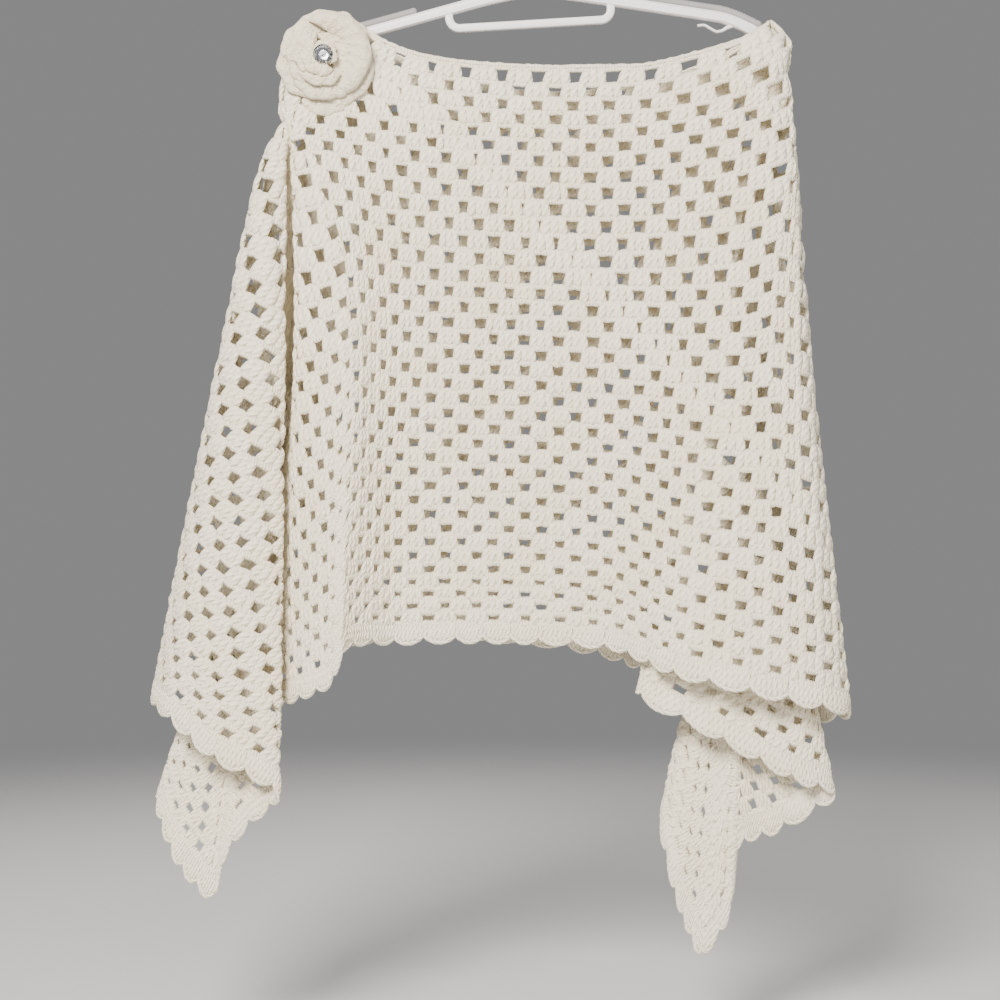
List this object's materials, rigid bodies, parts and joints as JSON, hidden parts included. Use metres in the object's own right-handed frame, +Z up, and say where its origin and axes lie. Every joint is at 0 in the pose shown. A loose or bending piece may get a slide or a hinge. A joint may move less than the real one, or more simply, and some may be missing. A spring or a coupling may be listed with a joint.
{
  "type": "crochet cape on a clothes hanger",
  "caption": "Open granny-stitch crochet cape with a scalloped border, pointed side tails and a crochet rose, hanging on a moulded plastic clothes hanger.",
  "frame": {"origin": "where the hanger's hook is held, at the inside of the top of its bend", "axes": "+X towards the side with the longer tail, seen from the front; -Y is the front; +Z is up"},
  "size_m": [0.5927, 0.1264, 0.9357],
  "materials": {
    "cape wool": "matte open crochet",
    "border wool": "matte shell crochet",
    "rose wool": "matte dense crochet",
    "stone setting": "polished",
    "rhinestone": "clear, faceted",
    "hanger plastic": "satin moulded",
    "grip rubber": "ribbed matte"
  },
  "bodies": {
    "root": {"cape_front": "cape wool", "cape_back": "cape wool", "border_front": "border wool", "border_back": "border wool", "rose_core": "rose wool", "rose_outer_petals": "rose wool", "rose_second_petals": "rose wool", "rose_third_petals": "rose wool", "rose_inner_petals": "rose wool", "stone_setting": "stone setting", "rhinestone": "rhinestone", "hanger_frame": "hanger plastic", "grip_left": "grip rubber", "grip_right": "grip rubber"}
  },
  "joints": []
}
